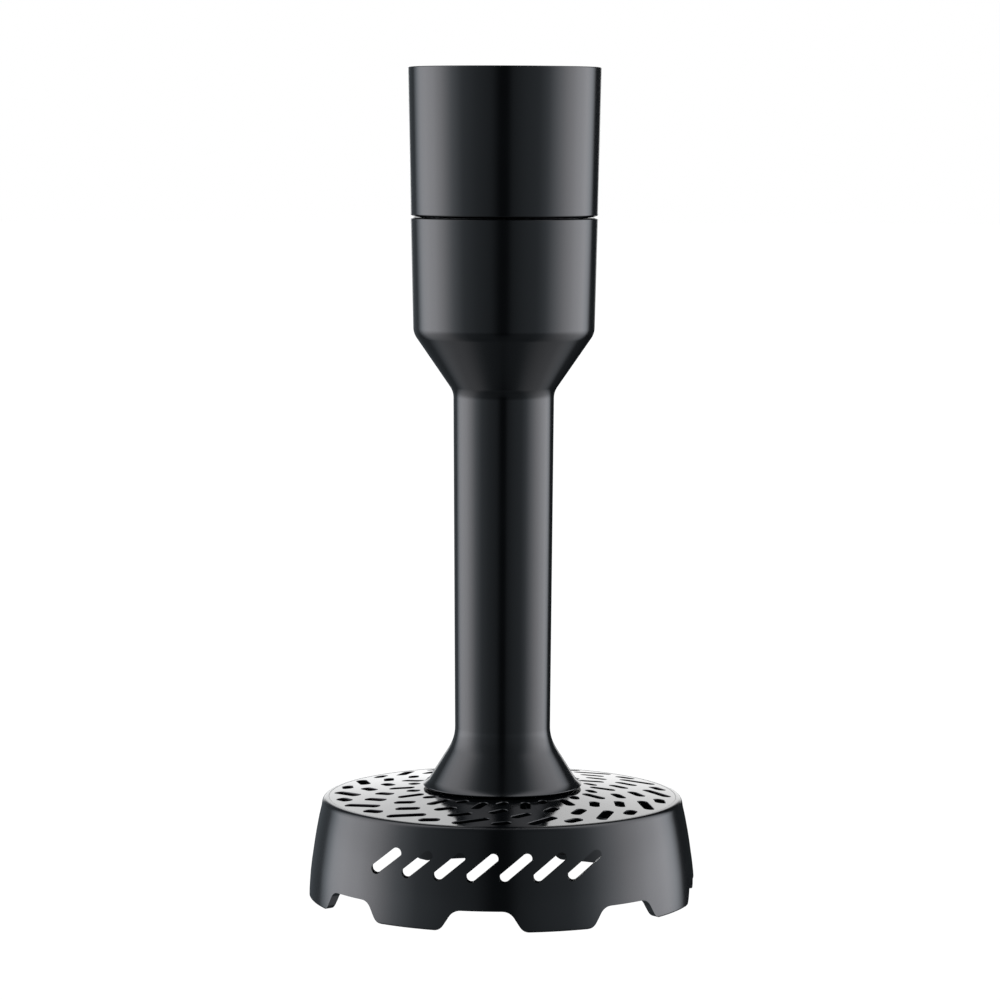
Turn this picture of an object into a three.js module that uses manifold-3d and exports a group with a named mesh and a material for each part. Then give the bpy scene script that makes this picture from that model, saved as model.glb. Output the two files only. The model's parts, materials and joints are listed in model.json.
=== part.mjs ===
// Potato-masher attachment for a stick blender: a twist-on gear unit, a long hollow leg and a sieve foot
// with a slow paddle turning under it. Millimetres, +Z up, origin at the centre of the foot's rim plane.
// An azimuth is measured round +Z from the front (-Y) towards +X, in degrees.

import * as THREE from "three";
import { mergeVertices } from "three/addons/utils/BufferGeometryUtils.js";
import Module from "manifold-3d";

const wasm = await Module();
wasm.setup();

// ---------- driving dimensions ----------

const RUN = 0.1; // radial clearance of a shaft in its bush, or of a pressed-in piece
const GAP = 0.3; // clearance between neighbouring mouldings

const FOOT = { rimRadius: 54.5, topRadius: 51.2, wall: 2.4, topZ: 28.1, shoulderZ: 25.4, ledge: 2.2 };
const NOTCH = { count: 8, height: 5.7, mouth: 21.6, crown: 14.6, corner: 2.2 };
const SLOT = { perGroup: 7, groups: 2, pitch: 9, length: 10.6, width: 2.8, slant: 40, z: 17.2 };
const PLATE = { radius: 48.6, rimZ: 28.2, hubRadius: 21.5, hubZ: 30.9, thick: 2.3, bore: 8.6 };
const SIEVE_SECTORS = 14;
// One sector of the sieve: azimuth, radius, length, width and lean of each hole against the tangent.
const SIEVE_HOLES = [
  { azimuth: 20.4, radius: 43.6, length: 10.8, width: 2.8, lean: 35 },
  { azimuth: 5.6, radius: 45.2, length: 5.8, width: 2.9, lean: 20 },
  { azimuth: 13.9, radius: 37.8, length: 6.8, width: 2.7, lean: 34 },
  { azimuth: 3.9, radius: 33.6, length: 6.0, width: 2.7, lean: 40 },
  { azimuth: 18.9, radius: 28.3, length: 7.2, width: 2.6, lean: 77 },
  { azimuth: 5.9, radius: 25.6, length: 3.8, width: 2.5, lean: 45 },
];

const LEG = {
  baseZ: 31.2, baseRadius: 22.2, flareZ: 44.6, shankLow: 13.4, coneZ: 142, shankHigh: 14.05,
  cupZ: 158.5, cupLow: 25.3, topZ: 190.6, cupHigh: 26.1, wall: 2.4, cupBore: 23.4,
};
const COLLAR = { baseZ: 190.95, topZ: 232.2, baseRadius: 26.1, topRadius: 26.95, bore: 23.5, socketBore: 24.3 };
const SOCKET = { plateZ: 215.5, floorZ: 218, plateRadius: 23.2 };

const CASE = { baseZ: 188.3, topZ: 215.2, radius: 23.2, bore: 19.5, neckRadius: 22, neckZ: 191, ledgeZ: 192 };
const COVER = { baseZ: 185.3, topZ: 188, radius: 22.9, noseRadius: 18.6, noseBore: 16.6, noseZ: 172.8 };
const LUG = { count: 3, radius: 22.4, baseZ: 173, topZ: 176, span: 30 };
const LIP = { radius: 20.3, baseZ: 176.4, topZ: 179.2, span: 46, stopSpan: 5, stopZ: 172.4 };

const GEAR = { module: 0.7, pressure: 25, addendum: 0.9, dedendum: 1.15, backlash: 0.14 };
const TEETH = { sun: 12, planet: 18, ring: 48 };
const PLANETS = 3;
const STAGE_ONE = { gearZ: 205.5, plateZ: 202.4 };
const STAGE_TWO = { gearZ: 196.1, plateZ: 192.4 };
const GEAR_WIDTH = 5.4;
const CARRIER = { radius: 14.2, thick: 2.6, pin: 1.6 };

const SHAFT = { radius: 3, topZ: 184, baseZ: 17 };
const HEX_ACROSS_FLATS = 8;
const HEX_PLAY = 0.4; // extra width across the flats of a hexagonal socket
const OUTPUT = { radius: 6.1, baseZ: 174.6, pocketZ: 187 };
const DOG = { baseZ: 218.95, topZ: 226.5, radius: 6, waist: 4.5, lobes: 6 };

const PADDLE = { blades: 3, radius: 45.5, thick: 2.8, sweep: 48, hubRadius: 8, hubZ: 13.2, hubTopZ: 27.8 };

const FINE = 36; // facets round a casing
const MEDIUM = 24; // facets round an inner piece
const SMALL = 12; // facets round a pin or screw

// ---------- materials ----------

function material(color, roughness, metalness = 0) {
  return new THREE.MeshStandardMaterial({ color, roughness, metalness });
}
const glossBlack = material(0x0c0d0e, 0.18);
const satinBlack = material(0x151617, 0.42);
const gearWhite = material(0xd9d6cb, 0.45);
const caseGrey = material(0x3a3d40, 0.5);
const steel = material(0xb8babd, 0.25, 1);
const bronze = material(0x9a7440, 0.4, 1);
const rubber = material(0x1a1a1a, 0.8);

// ---------- shape helpers ----------

const radians = THREE.MathUtils.degToRad;

// A body of revolution about Z. The profile is [radius, z] points with the outer wall going up.
function lathe(profile, facets) {
  const points = profile.map(([radius, z]) => new THREE.Vector2(radius, z));
  const onAxis = profile[0][0] === 0 && profile.at(-1)[0] === 0;
  if (!onAxis) points.push(points[0].clone());
  return new THREE.LatheGeometry(points, facets).rotateX(Math.PI / 2);
}

function disc(radius, lowZ, highZ, facets) {
  return lathe([[0, lowZ], [radius, lowZ], [radius, highZ], [0, highZ]], facets);
}

function ring(inner, outer, lowZ, highZ, facets) {
  return lathe([[inner, lowZ], [outer, lowZ], [outer, highZ], [inner, highZ]], facets);
}

// Points of an arc that rounds the corner between two straight stretches.
function fillet(before, corner, after, radius, steps) {
  const c = new THREE.Vector2(...corner);
  const a = new THREE.Vector2(...before).sub(c).normalize();
  const b = new THREE.Vector2(...after).sub(c).normalize();
  const half = Math.acos(a.dot(b)) / 2;
  const centre = a.clone().add(b).normalize().multiplyScalar(radius / Math.sin(half)).add(c);
  const start = c.clone().addScaledVector(a, radius / Math.tan(half)).sub(centre);
  const end = c.clone().addScaledVector(b, radius / Math.tan(half)).sub(centre);
  const turn = Math.atan2(start.cross(end), start.dot(end));
  return Array.from({ length: steps + 1 }, (_, i) => {
    const point = start.clone().rotateAround(new THREE.Vector2(), (turn * i) / steps).add(centre);
    return [point.x, point.y];
  });
}

// An upright prism of a flat shape drawn in X and Y.
function prism(shape, lowZ, highZ, curveSegments = 6) {
  const settings = { depth: highZ - lowZ, bevelEnabled: false, curveSegments };
  return new THREE.ExtrudeGeometry(shape, settings).translate(0, 0, lowZ);
}

// A prism that runs out along a radius: the shape's X is sideways and its Y is up.
function radialPrism(shape, azimuth, inner, outer, curveSegments) {
  return prism(shape, inner, outer, curveSegments).rotateX(Math.PI / 2).rotateZ(radians(azimuth));
}

function polygon(points) {
  return new THREE.Shape(points.map(([x, y]) => new THREE.Vector2(x, y)));
}

// A slot with round ends, turned by an angle in degrees about its middle.
function stadium(length, width, turn, [x, y] = [0, 0]) {
  const along = new THREE.Vector2(length / 2 - width / 2, 0).rotateAround(new THREE.Vector2(), radians(turn));
  const shape = new THREE.Shape();
  const quarter = radians(turn) - Math.PI / 2;
  shape.absarc(x + along.x, y + along.y, width / 2, quarter, quarter + Math.PI, false);
  shape.absarc(x - along.x, y - along.y, width / 2, quarter + Math.PI, quarter + 2 * Math.PI, false);
  return shape;
}

function hexagon(acrossFlats) {
  const corner = acrossFlats / 2 / Math.cos(Math.PI / 6);
  return polygon(around(6, 0).map((azimuth) => place(corner, azimuth)));
}

// A band of one width along a flat curve.
function ribbon(curve, width, steps) {
  const edge = (side) =>
    Array.from({ length: steps + 1 }, (_, i) => {
      const { x, y } = curve.getTangent(i / steps);
      const middle = curve.getPoint(i / steps);
      return [middle.x - (side * y * width) / 2, middle.y + (side * x * width) / 2];
    });
  return polygon([...edge(-1), ...edge(1).reverse()]);
}

// The azimuths of a number of equal copies.
function around(count, first) {
  return Array.from({ length: count }, (_, i) => first + (360 * i) / count);
}

// The point [x, y] at a radius and azimuth.
function place(radius, azimuth) {
  return [radius * Math.sin(radians(azimuth)), -radius * Math.cos(radians(azimuth))];
}

// A block between two radii and two heights, over a span of azimuth.
function sector(inner, outer, lowZ, highZ, azimuth, span) {
  const steps = Math.max(2, Math.round(span / 8));
  const sweep = Array.from({ length: steps + 1 }, (_, i) => azimuth - span / 2 + (span * i) / steps);
  const outline = sweep.map((a) => place(outer, a)).concat(sweep.reverse().map((a) => place(inner, a)));
  return prism(polygon(outline), lowZ, highZ);
}

function solid(geometry) {
  const bare = geometry.clone();
  bare.deleteAttribute("normal");
  bare.deleteAttribute("uv");
  const merged = mergeVertices(bare, 1e-4);
  const vertProperties = new Float32Array(merged.attributes.position.array);
  const triVerts = new Uint32Array(merged.index.array);
  return new wasm.Manifold(new wasm.Mesh({ numProp: 3, vertProperties, triVerts }));
}

function geometryOf(made) {
  const mesh = made.getMesh();
  const geometry = new THREE.BufferGeometry();
  geometry.setAttribute("position", new THREE.BufferAttribute(mesh.vertProperties, 3));
  return geometry.setIndex(new THREE.BufferAttribute(mesh.triVerts, 1));
}

function join(...geometries) {
  return geometryOf(geometries.map(solid).reduce((a, b) => a.add(b)));
}

function cut(geometry, tools) {
  return geometryOf(tools.map(solid).reduce((body, tool) => body.subtract(tool), solid(geometry)));
}

function addMesh(group, name, geometry, finish) {
  const mesh = new THREE.Mesh(geometry, finish);
  mesh.name = name;
  group.add(mesh);
  return mesh;
}

// ---------- gear helpers ----------

const pitchRadius = (teeth) => (GEAR.module * teeth) / 2;
const involute = (angle) => Math.tan(angle) - angle;
const CENTRES = pitchRadius(TEETH.sun) + pitchRadius(TEETH.planet);

// Half the angle that an involute tooth takes up at a radius; a ring's space is such a tooth, made wider.
function halfTooth(teeth, radius, play) {
  const pressure = radians(GEAR.pressure);
  const pitch = pitchRadius(teeth);
  const atRadius = Math.acos(Math.min(1, (pitch * Math.cos(pressure)) / radius));
  const atPitch = ((Math.PI * GEAR.module) / 2 + play) / (2 * pitch);
  return atPitch + involute(pressure) - involute(atRadius);
}

// The outline of a toothed wheel, with a point on each flank at each of the radii, from the inside out.
function toothed(teeth, radii, play, phase) {
  const flank = radii.map((radius) => [radius, halfTooth(teeth, radius, play)]);
  const tooth = flank.map(([r, a]) => [r, -a]).concat(flank.reverse().map(([r, a]) => [r, a]));
  const points = [];
  for (let i = 0; i < teeth; i++) {
    const middle = phase + (2 * Math.PI * i) / teeth;
    for (const [r, a] of tooth) points.push([r * Math.cos(middle + a), r * Math.sin(middle + a)]);
  }
  return polygon(points);
}

function wheelShape(teeth, phase) {
  const pitch = pitchRadius(teeth);
  const root = pitch - GEAR.dedendum * GEAR.module;
  return toothed(teeth, [root, pitch + GEAR.addendum * GEAR.module], -GEAR.backlash, phase);
}

// The turn that meshes a planet at an angle with the sun, whose first tooth lies on +X.
function planetPhase(angle) {
  const sunShare = (angle * TEETH.sun) / (2 * Math.PI);
  return angle + Math.PI - ((2 * Math.PI) / TEETH.planet) * (0.5 - sunShare);
}

// The turn of the ring's first tooth space that meshes it with a planet at an angle.
function ringPhase(angle) {
  return angle - ((angle - planetPhase(angle)) * TEETH.planet) / TEETH.ring;
}

const planetAngles = Array.from({ length: PLANETS }, (_, k) => Math.PI / 2 + (2 * Math.PI * k) / PLANETS);

// ---------- foot ----------

// The underside of the sieve plate at a radius.
function plateUnderside(radius) {
  const slope = (PLATE.rimZ - PLATE.hubZ) / (PLATE.radius - PLATE.hubRadius);
  return PLATE.hubZ + slope * Math.max(0, radius - PLATE.hubRadius) - PLATE.thick;
}

function footSkirt() {
  const bulge = [53.3, 14];
  const side = new THREE.SplineCurve([
    new THREE.Vector2(FOOT.rimRadius, 0),
    new THREE.Vector2(...bulge),
    new THREE.Vector2(FOOT.topRadius, FOOT.shoulderZ),
  ]).getPoints(3);
  const seat = PLATE.radius + GAP;
  const seatZ = PLATE.rimZ - PLATE.thick - GAP;
  const shoulder = fillet(
    [FOOT.topRadius, FOOT.shoulderZ], [FOOT.topRadius - 0.35, FOOT.topZ], [seat - 1, FOOT.topZ + 0.1], 1.9, 3,
  );
  const outer = side.map((p) => [p.x, p.y]).concat(shoulder);
  const inner = side.map((p) => [p.x - FOOT.wall, p.y]).reverse().filter(([, z]) => z < seatZ - FOOT.ledge);
  const shelf = [[seat, FOOT.topZ + 0.1], [seat, seatZ], [seat - FOOT.ledge, seatZ], [seat - FOOT.ledge, seatZ - 1]];
  const wall = lathe([...outer, ...shelf, ...inner], 48);

  const { mouth, crown, height, corner } = NOTCH;
  const below = -1;
  const notch = polygon([
    [-mouth / 2 - corner, below], [mouth / 2 + corner, below], [mouth / 2 + corner * 0.9, 0],
    [mouth / 2, corner * 0.6], [crown / 2 + corner * 0.6, height - corner], [crown / 2 - corner * 0.7, height],
    [-crown / 2 + corner * 0.7, height], [-crown / 2 - corner * 0.6, height - corner],
    [-mouth / 2, corner * 0.6], [-mouth / 2 - corner * 0.9, 0],
  ]);
  const notches = around(NOTCH.count, 0).map((a) => radialPrism(notch, a, 45, 60));
  const slots = around(SLOT.groups, 0).flatMap((middle) =>
    Array.from({ length: SLOT.perGroup }, (_, i) => {
      const sideways = (i - (SLOT.perGroup - 1) / 2) * SLOT.pitch;
      return radialPrism(stadium(SLOT.length, SLOT.width, SLOT.slant, [sideways, SLOT.z]), middle, 36, 60, 1);
    }),
  );
  return cut(wall, [...notches, ...slots]);
}

function sievePlate() {
  const under = plateUnderside;
  const blank = lathe(
    [
      [PLATE.bore, under(0)], [PLATE.hubRadius, under(PLATE.hubRadius)], [PLATE.radius, under(PLATE.radius)],
      [PLATE.radius, PLATE.rimZ], [PLATE.hubRadius, PLATE.hubZ], [PLATE.bore, PLATE.hubZ],
    ],
    FINE,
  );
  const holes = around(SIEVE_SECTORS, 0).flatMap((start) =>
    SIEVE_HOLES.map(({ azimuth, radius, length, width, lean }) => {
      const turn = start + azimuth;
      const shape = stadium(length, width, turn + lean, place(radius, turn));
      return prism(shape, under(PLATE.radius) - 1, PLATE.hubZ + 1, 1);
    }),
  );
  const screwHoles = around(3, 60).map((a) => tube(FOOT_SCREW.shank + 0.2, a, FOOT_SCREW.circle, 26, 33));
  return cut(blank, [...holes, ...screwHoles]);
}

// An upright round bar off the axis, mostly used as a drill.
function tube(radius, azimuth, circle, lowZ, highZ, facets = SMALL) {
  return disc(radius, lowZ, highZ, facets).translate(...place(circle, azimuth), 0);
}

// ---------- screws ----------

const FOOT_SCREW = { circle: 13.6, shank: 1.3, head: 2.4, headHeight: 1.4, seatZ: 28.4, length: 7.8 };
const PLATE_SCREW = { circle: 20.9, shank: 1, head: 1.8, headHeight: 1.1, seatZ: 216.2, length: 12 };
const COVER_SCREW = { circle: 20.7, shank: 1, head: 1.8, headHeight: 1.1, seatZ: 185.1, length: 12 };

// A pan-head screw on a circle round the axis. The head is above the seat, or below it when it points up.
function screw({ circle, shank, head, headHeight, seatZ, length }, azimuth, pointsUp) {
  const sign = pointsUp ? 1 : -1;
  const ends = [seatZ - sign * headHeight, seatZ, seatZ + sign * length];
  const profile = [[0, ends[0]], [head * 0.8, ends[0]], [head, ends[0] + sign * 0.4], [head, ends[1]],
    [shank, ends[1]], [shank, ends[2] - sign * 0.8], [0, ends[2]]];
  if (!pointsUp) profile.reverse();
  return lathe(profile, 8).translate(...place(circle, azimuth), 0);
}

// ---------- leg ----------

function legShell() {
  const outerCorners = [
    [LEG.baseRadius, LEG.baseZ], [LEG.shankLow, LEG.flareZ], [LEG.shankHigh, LEG.coneZ],
    [LEG.cupLow, LEG.cupZ], [LEG.cupHigh, LEG.topZ],
  ];
  const [base, flare, cone, cup, top] = outerCorners;
  const outer = [
    base, ...fillet(base, flare, cone, 10, 3), ...fillet(flare, cone, cup, 8, 3), ...fillet(cone, cup, top, 9, 3),
    [LEG.cupHigh, LEG.topZ - 0.7], [LEG.cupHigh - 1, LEG.topZ],
  ];
  const wall = LEG.wall;
  const inner = [
    [0, base[1] - 1], [base[0] - wall, base[1] - 1], [base[0] - wall, base[1]], [LEG.shankLow - wall, LEG.flareZ + 1],
    [LEG.shankHigh - wall, LEG.coneZ + 0.8], [LEG.cupLow - wall, LEG.cupZ + 0.8], [LEG.cupBore, LEG.cupZ + 5],
    [LEG.cupBore, LEG.topZ + 1], [0, LEG.topZ + 1],
  ];
  const bosses = around(3, 60).map((a) => tube(2.6, a, FOOT_SCREW.circle, LEG.baseZ, 37.6));
  const lips = around(LUG.count, 0).map((a) => sector(LIP.radius, 24, LIP.baseZ, LIP.topZ, a, LIP.span));
  const stops = around(LUG.count, 0).map((a) => {
    const beside = a - LUG.span / 2 - LIP.stopSpan / 2 - 0.6;
    return sector(LIP.radius, 24, LIP.stopZ, LIP.baseZ + 1, beside, LIP.stopSpan);
  });
  const cavity = cut(lathe(inner, FINE), [...bosses, ...lips, ...stops]);
  const drills = around(3, 60).map((a) => tube(FOOT_SCREW.shank + RUN, a, FOOT_SCREW.circle, 30, 36.6));
  return cut(lathe([[0, LEG.baseZ], ...outer, [0, LEG.topZ]], FINE), [cavity, ...drills]);
}

// The lower block carries the drive shaft's bush just above the sieve.
function lowerBearingBlock() {
  return lathe([[5.3, 34], [10.4, 34], [10.6, 50], [9, 52], [5.3, 52]], MEDIUM);
}

// The upper carrier spans the bottom of the leg's cup and centres the drive shaft.
function upperBearingCarrier() {
  return lathe([[5.3, 151], [8.4, 151], [8.6, 160.2], [22.2, 160.4], [22.2, 163], [5.3, 163]], MEDIUM);
}

// ---------- gear unit ----------

function gearCollar() {
  const { baseZ, topZ, baseRadius, topRadius, bore, socketBore } = COLLAR;
  const shell = lathe(
    [
      [bore, baseZ], [baseRadius - 1, baseZ], [baseRadius, baseZ + 0.7], [topRadius, topZ - 0.4],
      [topRadius - 0.4, topZ], [socketBore, topZ], [socketBore, SOCKET.floorZ + GAP], [bore, SOCKET.floorZ],
    ],
    FINE,
  );
  const catches = around(3, 30).map((a) => sector(22.5, 25, 225.6, 228.4, a, 26));
  return join(shell, ...catches);
}

function socketPlate() {
  const { plateZ, floorZ, plateRadius } = SOCKET;
  const blank = lathe(
    [[5.3, 212.2], [8, 212.2], [8, plateZ], [plateRadius, plateZ], [plateRadius, floorZ], [5.3, floorZ]],
    FINE,
  );
  const { circle, shank, head, seatZ } = PLATE_SCREW;
  const seats = around(3, 90).flatMap((a) => [
    tube(shank + 0.2, a, circle, plateZ - 1, floorZ + 1, 12),
    tube(head + 0.2, a, circle, seatZ - RUN, floorZ + 1, 12),
  ]);
  return cut(blank, seats);
}

function gearCase() {
  const { baseZ, topZ, radius, bore, neckRadius, neckZ, ledgeZ } = CASE;
  const ledgeBore = bore - 2.5;
  const blank = lathe(
    [
      [ledgeBore, baseZ], [neckRadius, baseZ], [neckRadius, neckZ], [radius, neckZ], [radius, topZ],
      [bore, topZ], [bore, ledgeZ + 2.7], [ledgeBore, ledgeZ + 2.7],
    ],
    FINE,
  );
  const upper = around(3, 90).map((a) => tube(1.1, a, PLATE_SCREW.circle, 203.6, topZ + 1, 12));
  const lower = around(3, 30).map((a) => tube(1.1, a, COVER_SCREW.circle, baseZ - 1, 197.6, 12));
  return cut(blank, [...upper, ...lower]);
}

function ringGear() {
  const pitch = pitchRadius(TEETH.ring);
  const tip = pitch - GEAR.addendum * GEAR.module;
  const root = pitch + GEAR.dedendum * GEAR.module;
  const outline = new THREE.Shape();
  outline.absarc(0, 0, CASE.bore - RUN, 0, 2 * Math.PI, false);
  outline.holes.push(toothed(TEETH.ring, [tip, root], GEAR.backlash, ringPhase(planetAngles[0])));
  return prism(outline, 195, 212, FINE / 2);
}

function gearCover() {
  const { baseZ, topZ, radius, noseRadius, noseBore, noseZ } = COVER;
  const hub = { inner: 8.4, outer: 10.4, lowZ: 180 };
  const blank = lathe(
    [
      [hub.inner, hub.lowZ], [hub.outer, hub.lowZ], [hub.outer, baseZ], [noseBore, baseZ], [noseBore, noseZ],
      [noseRadius - 0.6, noseZ], [noseRadius, noseZ + 0.8], [noseRadius, baseZ], [radius, baseZ],
      [radius, topZ], [hub.inner, topZ],
    ],
    FINE,
  );
  const lugs = around(LUG.count, 0).map((a) => sector(17.8, LUG.radius, LUG.baseZ, LUG.topZ, a, LUG.span));
  const holes = around(3, 30).map((a) => tube(COVER_SCREW.shank + 0.2, a, COVER_SCREW.circle, 184, 189, 12));
  return cut(join(blank, ...lugs), holes);
}

// A six-lobed driver that the blender's motor coupling drops over.
function driveDog() {
  const { baseZ, topZ, radius, waist, lobes } = DOG;
  const shape = new THREE.Shape();
  for (const [i, azimuth] of around(lobes, 0).entries()) {
    const step = 360 / lobes;
    const valley = place(waist, azimuth - step / 2);
    if (i === 0) shape.moveTo(...valley);
    shape.lineTo(...place(radius, azimuth - step / 5));
    shape.lineTo(...place(radius, azimuth + step / 5));
    shape.lineTo(...place(waist, azimuth + step / 2));
  }
  const bore = new THREE.Path();
  bore.absarc(0, 0, SHAFT.radius + RUN, 0, 2 * Math.PI, false);
  shape.holes.push(bore);
  return prism(shape, baseZ, topZ, 8);
}

// ---------- gear train ----------

function inputPinionShaft() {
  const stem = disc(SHAFT.radius, STAGE_ONE.gearZ + 2, DOG.topZ - 1, MEDIUM / 2);
  return join(stem, prism(wheelShape(TEETH.sun, 0), STAGE_ONE.gearZ, STAGE_ONE.gearZ + GEAR_WIDTH));
}

function planet(angle, stage) {
  const shape = wheelShape(TEETH.planet, planetPhase(angle));
  const bore = new THREE.Path();
  bore.absarc(0, 0, CARRIER.pin + 0.15, 0, 2 * Math.PI, false);
  shape.holes.push(bore);
  return prism(shape, stage.gearZ, stage.gearZ + GEAR_WIDTH, SMALL / 2);
}

function onPlanetCentre(object, angle) {
  object.position.set(CENTRES * Math.cos(angle), CENTRES * Math.sin(angle), 0);
}

// A carrier disc with a hole for each planet pin.
function carrierDisc(stage) {
  const { radius, thick, pin } = CARRIER;
  const holes = planetAngles.map((angle) =>
    disc(pin + RUN, stage.plateZ - 1, stage.plateZ + thick + 1, SMALL).translate(
      CENTRES * Math.cos(angle), CENTRES * Math.sin(angle), 0,
    ),
  );
  return cut(disc(radius, stage.plateZ, stage.plateZ + thick, MEDIUM), holes);
}

function firstCarrier() {
  return join(carrierDisc(STAGE_ONE), prism(wheelShape(TEETH.sun, 0), STAGE_TWO.gearZ, STAGE_ONE.plateZ + 0.5));
}

function outputCarrier() {
  const shank = disc(OUTPUT.radius, OUTPUT.baseZ, STAGE_TWO.plateZ + 0.5, MEDIUM);
  const pocket = prism(hexagon(HEX_ACROSS_FLATS + HEX_PLAY), OUTPUT.baseZ - 1, OUTPUT.pocketZ);
  return cut(join(carrierDisc(STAGE_TWO), shank), [pocket]);
}

// A hexagonal driver pressed onto the drive shaft.
function hexDog(lowZ, highZ) {
  const shape = hexagon(HEX_ACROSS_FLATS);
  const bore = new THREE.Path();
  bore.absarc(0, 0, SHAFT.radius + RUN, 0, 2 * Math.PI, false);
  shape.holes.push(bore);
  return prism(shape, lowZ, highZ, 8);
}

// A spring clip: a ring with an opening at one side.
function circlip(inner, outer, lowZ, highZ) {
  return cut(ring(inner, outer, lowZ, highZ, MEDIUM), [sector(inner - 1, outer + 1, lowZ - 1, highZ + 1, 0, 50)]);
}

// ---------- paddle ----------

// The three swept blades fill the space that this envelope leaves under the sieve.
function mashPaddle() {
  const { blades, radius, thick, sweep, hubRadius, hubZ, hubTopZ } = PADDLE;
  const clear = 1;
  const envelope = lathe(
    [
      [0, 15.6], [12, 16.4], [radius, 20.6], [radius, plateUnderside(radius) - clear],
      [19.6, plateUnderside(19.6) - clear], [19, 26], [0, 26],
    ],
    FINE,
  );
  const spine = new THREE.QuadraticBezierCurve(
    new THREE.Vector2(...place(3, 0)),
    new THREE.Vector2(...place(radius * 0.72, 0)),
    new THREE.Vector2(...place(radius + 2, sweep)),
  );
  const arms = around(blades, 0).map((a) => prism(ribbon(spine, thick, 7), 10, 30).rotateZ(radians(a)));
  const swept = arms.map(solid).reduce((a, b) => a.add(b)).intersect(solid(envelope));
  const hub = lathe(
    [[0, hubZ], [hubRadius - 1.6, hubZ], [hubRadius, hubZ + 1.6], [hubRadius, hubTopZ], [0, hubTopZ]], MEDIUM,
  );
  const pocket = prism(hexagon(HEX_ACROSS_FLATS + HEX_PLAY), hubZ + 2.4, hubTopZ + 1);
  const clipSeat = disc(6.8, 26.2, hubTopZ + 1, MEDIUM);
  return cut(geometryOf(swept.add(solid(hub))), [pocket, clipSeat]);
}

// ---------- assembly ----------

const masher = new THREE.Group();

function bodyGroup() {
  const group = new THREE.Group();
  masher.add(group);
  return group;
}

const leg = bodyGroup();
addMesh(leg, "leg_shell", legShell(), glossBlack);
addMesh(leg, "foot_skirt", footSkirt(), glossBlack);
addMesh(leg, "sieve_plate", sievePlate(), glossBlack);
addMesh(leg, "lower_bearing_block", lowerBearingBlock(), satinBlack);
addMesh(leg, "lower_bush", ring(SHAFT.radius + RUN, 5.2, 34.4, 51, MEDIUM), bronze);
addMesh(leg, "shaft_seal", lathe([[3.2, 29], [7.8, 29], [8.2, 33.4], [3.2, 33.4], [3.6, 31]], MEDIUM), rubber);
addMesh(leg, "upper_bearing_carrier", upperBearingCarrier(), satinBlack);
addMesh(leg, "upper_bush", ring(SHAFT.radius + RUN, 5.2, 151.5, 164, MEDIUM), bronze);
around(3, 60).forEach((a, i) => addMesh(leg, `foot_screw_${i + 1}`, screw(FOOT_SCREW, a, true), steel));

const gearUnit = bodyGroup();
addMesh(gearUnit, "gear_collar", gearCollar(), glossBlack);
addMesh(gearUnit, "gear_case", gearCase(), caseGrey);
addMesh(gearUnit, "ring_gear", ringGear(), gearWhite);
addMesh(gearUnit, "socket_plate", socketPlate(), satinBlack);
addMesh(gearUnit, "gear_cover", gearCover(), satinBlack);
addMesh(gearUnit, "input_bush", ring(SHAFT.radius + RUN, 5.2, 211.9, 217.9, MEDIUM), bronze);
addMesh(gearUnit, "output_bush", ring(OUTPUT.radius + RUN, 8.3, 180, 191.2, MEDIUM), bronze);
addMesh(gearUnit, "output_thrust_washer", ring(6.4, 9.6, 191.5, 192.1, MEDIUM), steel);
const sealProfile = [[22.2, 189.3], [22.65, 188.5], [23.1, 189.3], [22.65, 190.1]];
addMesh(gearUnit, "joint_seal_ring", lathe(sealProfile, FINE), rubber);
around(3, 90).forEach((a, i) =>
  addMesh(gearUnit, `socket_plate_screw_${i + 1}`, screw(PLATE_SCREW, a, false), steel));
around(3, 30).forEach((a, i) =>
  addMesh(gearUnit, `gear_cover_screw_${i + 1}`, screw(COVER_SCREW, a, true), steel));

const inputDrive = bodyGroup();
addMesh(inputDrive, "drive_dog", driveDog(), satinBlack);
addMesh(inputDrive, "input_pinion_shaft", inputPinionShaft(), steel);
addMesh(inputDrive, "input_seal", lathe([[3.1, 218.1], [6.6, 218.1], [5.2, 218.8], [3.1, 218.8]], MEDIUM), rubber);

const firstStage = bodyGroup();
addMesh(firstStage, "first_carrier", firstCarrier(), steel);
const outputDrive = bodyGroup();
addMesh(outputDrive, "output_carrier", outputCarrier(), steel);
addMesh(outputDrive, "output_circlip", circlip(6.25, 8, 178.6, 179.6), steel);
addMesh(outputDrive, "drive_shaft", disc(SHAFT.radius, SHAFT.baseZ, SHAFT.topZ, MEDIUM / 2), steel);
addMesh(outputDrive, "upper_shaft_dog", hexDog(175.6, 185.6), satinBlack);
addMesh(outputDrive, "lower_shaft_dog", hexDog(16, 27.4), satinBlack);
addMesh(outputDrive, "shaft_washer", ring(3.1, 6.4, 164.3, 164.9, SMALL), steel);
addMesh(outputDrive, "shaft_circlip", circlip(3.1, 5, 165.2, 166.2), steel);

const stages = [
  { label: "first", stage: STAGE_ONE, carrier: firstStage },
  { label: "second", stage: STAGE_TWO, carrier: outputDrive },
];
for (const { label, stage, carrier } of stages) {
  const pinTop = stage.gearZ + GEAR_WIDTH + 0.3;
  planetAngles.forEach((angle, i) => {
    const pin = disc(CARRIER.pin, stage.plateZ, pinTop, SMALL);
    onPlanetCentre(addMesh(carrier, `${label}_planet_pin_${i + 1}`, pin, steel), angle);
    onPlanetCentre(addMesh(bodyGroup(), `${label}_planet_${i + 1}`, planet(angle, stage), gearWhite), angle);
  });
}

const paddle = bodyGroup();
addMesh(paddle, "mash_paddle", mashPaddle(), satinBlack);
addMesh(paddle, "paddle_clip", circlip(4.95, 6.6, 26.4, 27.2), steel);

export default masher;
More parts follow.
